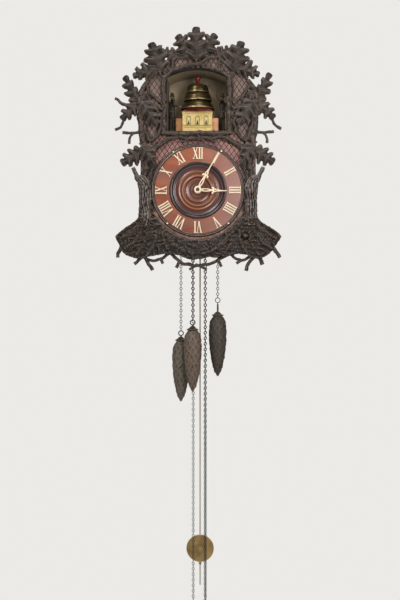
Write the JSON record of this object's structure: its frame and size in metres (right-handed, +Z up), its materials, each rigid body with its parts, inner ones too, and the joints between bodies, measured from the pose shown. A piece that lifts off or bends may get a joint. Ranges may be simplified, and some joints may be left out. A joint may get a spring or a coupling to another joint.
{
  "type": "automaton clock",
  "caption": "Carved chain-driven wall clock with a small stage over the dial, where bell ringers strike stacked bells on a chapel; pine cone weights and a long pendulum hang below.",
  "frame": {"origin": "centre of the hanging hole where the back of the brass plate meets the wall", "axes": "+X right as seen from the front, +Y into the wall, +Z up; the dial faces -Y"},
  "size_m": [0.4349, 0.2159, 1.67],
  "materials": {
    "case_wood": "oiled",
    "carved_wood": "dark stained, waxed",
    "lattice_board": "stained, incised",
    "dial_wood": "satin varnish",
    "stage_paint": "painted",
    "chapel_paint": "painted",
    "figure_paint": "painted",
    "red_lacquer": "gloss lacquer",
    "bone": "smooth",
    "brass": "aged",
    "steel": "brushed",
    "cone_iron": "bronzed",
    "chain_bronze": "dark oxidised",
    "rod_wood": "bare"
  },
  "bodies": {
    "clock": {"back_frame": "case_wood", "hanger_plate": "brass", "door_hinges": "brass", "case_sides": "case_wood", "case_roof": "case_wood", "case_floor": "case_wood", "seat_board": "case_wood", "front_board": "lattice_board", "stage_box": "stage_paint", "niche_branches": "carved_wood", "rail_branches": "carved_wood", "crown_leaves": "carved_wood", "leaves_left": "carved_wood", "leaves_right": "carved_wood", "trunks": "carved_wood", "base_carving": "carved_wood", "dial_ring": "dial_wood", "dial_moulding": "carved_wood", "dial_centre": "dial_wood", "numerals": "bone", "chapel": "chapel_paint", "bell_spindle": "red_lacquer", "bell_large": "brass", "bell_middle": "brass", "bell_small": "brass", "figure_left": "figure_paint", "figure_right": "figure_paint", "front_plate": "brass", "back_plate": "brass", "chain_wraps": "chain_bronze"},
    "pendulum": {"pendulum_rod": "rod_wood"},
    "bob": {"pendulum_bob": "brass"},
    "anchor": {"anchor": "steel"},
    "minute": {"centre_wheel": "brass", "minute_hand": "bone"},
    "hour": {"hour_wheel": "brass", "hour_hand": "bone"},
    "minute_work": {"minute_wheel": "brass"},
    "third": {"third_wheel": "brass"},
    "escape": {"escape_wheel": "brass"},
    "time_great": {"time_great_wheel": "brass"},
    "time_chain": {"time_chain_wheel": "brass"},
    "strike_great": {"strike_great_wheel": "brass"},
    "strike_pins": {"strike_pin_wheel": "brass"},
    "automaton_great": {"automaton_great_wheel": "brass"},
    "automaton_pins": {"automaton_pin_wheel": "brass"},
    "left_weight": {"weight_left": "cone_iron", "chain_left": "chain_bronze"},
    "middle_weight": {"weight_middle": "cone_iron", "chain_middle": "chain_bronze"},
    "right_weight": {"weight_right": "cone_iron", "chain_right": "chain_bronze"},
    "left_free": {"free_chain_left": "chain_bronze"},
    "middle_free": {"free_chain_middle": "chain_bronze"},
    "right_free": {"free_chain_right": "chain_bronze"},
    "left_arm": {"figure_left_arm": "figure_paint"},
    "right_arm": {"figure_right_arm": "figure_paint"},
    "left_wire": {"lift_wire_left": "steel"},
    "right_wire": {"lift_wire_right": "steel"},
    "door": {"back_door": "case_wood"}
  },
  "joints": [
    {"name": "pendulum_swing", "type": "hinge", "parent": "clock", "child": "pendulum", "pos_m": [0, -0.04, -0.25459], "axis": [0, -1, 0], "range_deg": [-3, 3]},
    {"name": "bob_slide", "type": "slide", "parent": "pendulum", "child": "bob", "axis": [0, 0, 1], "range_m": [-0.015, 0.015]},
    {"name": "anchor_rock", "type": "hinge", "parent": "clock", "child": "anchor", "pos_m": [0, -0.07, -0.25459], "axis": [0, -1, 0], "range_deg": [-3, 3]},
    {"name": "minute_spin", "type": "hinge", "parent": "clock", "child": "minute", "pos_m": [0, -0.2, -0.313], "axis": [0, -1, 0], "continuous": true},
    {"name": "hour_spin", "type": "hinge", "parent": "clock", "child": "hour", "pos_m": [0, -0.17, -0.313], "axis": [0, -1, 0], "continuous": true},
    {"name": "minute_wheel_spin", "type": "hinge", "parent": "clock", "child": "minute_work", "pos_m": [-0.0252, -0.16, -0.313], "axis": [0, -1, 0], "continuous": true},
    {"name": "third_spin", "type": "hinge", "parent": "clock", "child": "third", "pos_m": [-0.02005, -0.1, -0.29295], "axis": [0, -1, 0], "continuous": true},
    {"name": "escape_spin", "type": "hinge", "parent": "clock", "child": "escape", "pos_m": [0, -0.1, -0.27719], "axis": [0, -1, 0], "continuous": true},
    {"name": "time_great_spin", "type": "hinge", "parent": "clock", "child": "time_great", "pos_m": [0, -0.1, -0.349], "axis": [0, -1, 0], "continuous": true},
    {"name": "left_weight_slide", "type": "slide", "parent": "clock", "child": "left_weight", "axis": [0, 0, 1], "range_m": [-0.105, 0.105], "deforming": ["chain_left"]},
    {"name": "middle_weight_slide", "type": "slide", "parent": "clock", "child": "middle_weight", "axis": [0, 0, 1], "range_m": [-0.105, 0.105], "deforming": ["chain_middle"]},
    {"name": "right_weight_slide", "type": "slide", "parent": "clock", "child": "right_weight", "axis": [0, 0, 1], "range_m": [-0.105, 0.06], "deforming": ["chain_right"]},
    {"name": "left_free_slide", "type": "slide", "parent": "clock", "child": "left_free", "axis": [0, 0, 1], "range_m": [-0.105, 0.105], "deforming": ["free_chain_left"]},
    {"name": "middle_free_slide", "type": "slide", "parent": "clock", "child": "middle_free", "axis": [0, 0, 1], "range_m": [-0.105, 0.105], "deforming": ["free_chain_middle"]},
    {"name": "right_free_slide", "type": "slide", "parent": "clock", "child": "right_free", "axis": [0, 0, 1], "range_m": [-0.06, 0.105], "deforming": ["free_chain_right"]},
    {"name": "automaton_wheel_turn", "type": "hinge", "parent": "clock", "child": "automaton_great", "pos_m": [-0.03298, -0.1, -0.349], "axis": [0, -1, 0], "range_deg": [-368, 368]},
    {"name": "automaton_pins_turn", "type": "hinge", "parent": "clock", "child": "automaton_pins", "pos_m": [-0.04978, -0.1, -0.3199], "axis": [0, -1, 0], "range_deg": [-2205, 2205]},
    {"name": "time_chain_turn", "type": "hinge", "parent": "clock", "child": "time_chain", "pos_m": [0, -0.1, -0.349], "axis": [0, -1, 0], "range_deg": [-368, 368]},
    {"name": "strike_wheel_turn", "type": "hinge", "parent": "clock", "child": "strike_great", "pos_m": [0.03298, -0.1, -0.349], "axis": [0, -1, 0], "range_deg": [-368, 368]},
    {"name": "strike_pins_turn", "type": "hinge", "parent": "clock", "child": "strike_pins", "pos_m": [0.04978, -0.1, -0.3199], "axis": [0, -1, 0], "range_deg": [-2205, 2205]},
    {"name": "left_arm_swing", "type": "hinge", "parent": "clock", "child": "left_arm", "pos_m": [-0.066, -0.14, -0.071], "axis": [0, -1, 0], "range_deg": [0, 28]},
    {"name": "right_arm_swing", "type": "hinge", "parent": "clock", "child": "right_arm", "pos_m": [0.059, -0.13, -0.071], "axis": [0, -1, 0], "range_deg": [-22, 0]},
    {"name": "left_wire_slide", "type": "slide", "parent": "clock", "child": "left_wire", "axis": [0, 0, 1], "range_m": [-0.0046, 0.0001]},
    {"name": "right_wire_slide", "type": "slide", "parent": "clock", "child": "right_wire", "axis": [0, 0, 1], "range_m": [-0.0036, 0.0001]},
    {"name": "door_swing", "type": "hinge", "parent": "clock", "child": "door", "pos_m": [-0.096, -0.0022, -0.3], "axis": [0, 0, 1], "range_deg": [0, 110]}
  ],
  "couplings": [
    {"joint": "anchor_rock", "follows": "pendulum_swing", "ratio": 1},
    {"joint": "hour_spin", "follows": "minute_spin", "ratio": 0.083333},
    {"joint": "minute_wheel_spin", "follows": "minute_spin", "ratio": -0.33333},
    {"joint": "third_spin", "follows": "minute_spin", "ratio": -8},
    {"joint": "escape_spin", "follows": "minute_spin", "ratio": 60},
    {"joint": "time_great_spin", "follows": "minute_spin", "ratio": -0.25},
    {"joint": "left_free_slide", "follows": "left_weight_slide", "ratio": -1},
    {"joint": "middle_free_slide", "follows": "middle_weight_slide", "ratio": -1},
    {"joint": "right_free_slide", "follows": "right_weight_slide", "ratio": -1},
    {"joint": "automaton_wheel_turn", "follows": "left_weight_slide", "rad_per_m": -60.649},
    {"joint": "automaton_pins_turn", "follows": "left_weight_slide", "rad_per_m": 363.89},
    {"joint": "time_chain_turn", "follows": "middle_weight_slide", "rad_per_m": -60.649},
    {"joint": "strike_wheel_turn", "follows": "right_weight_slide", "rad_per_m": 60.649},
    {"joint": "strike_pins_turn", "follows": "right_weight_slide", "rad_per_m": -363.89},
    {"joint": "left_wire_slide", "follows": "left_arm_swing", "m_per_rad": -0.009},
    {"joint": "right_wire_slide", "follows": "right_arm_swing", "m_per_rad": 0.009}
  ]
}
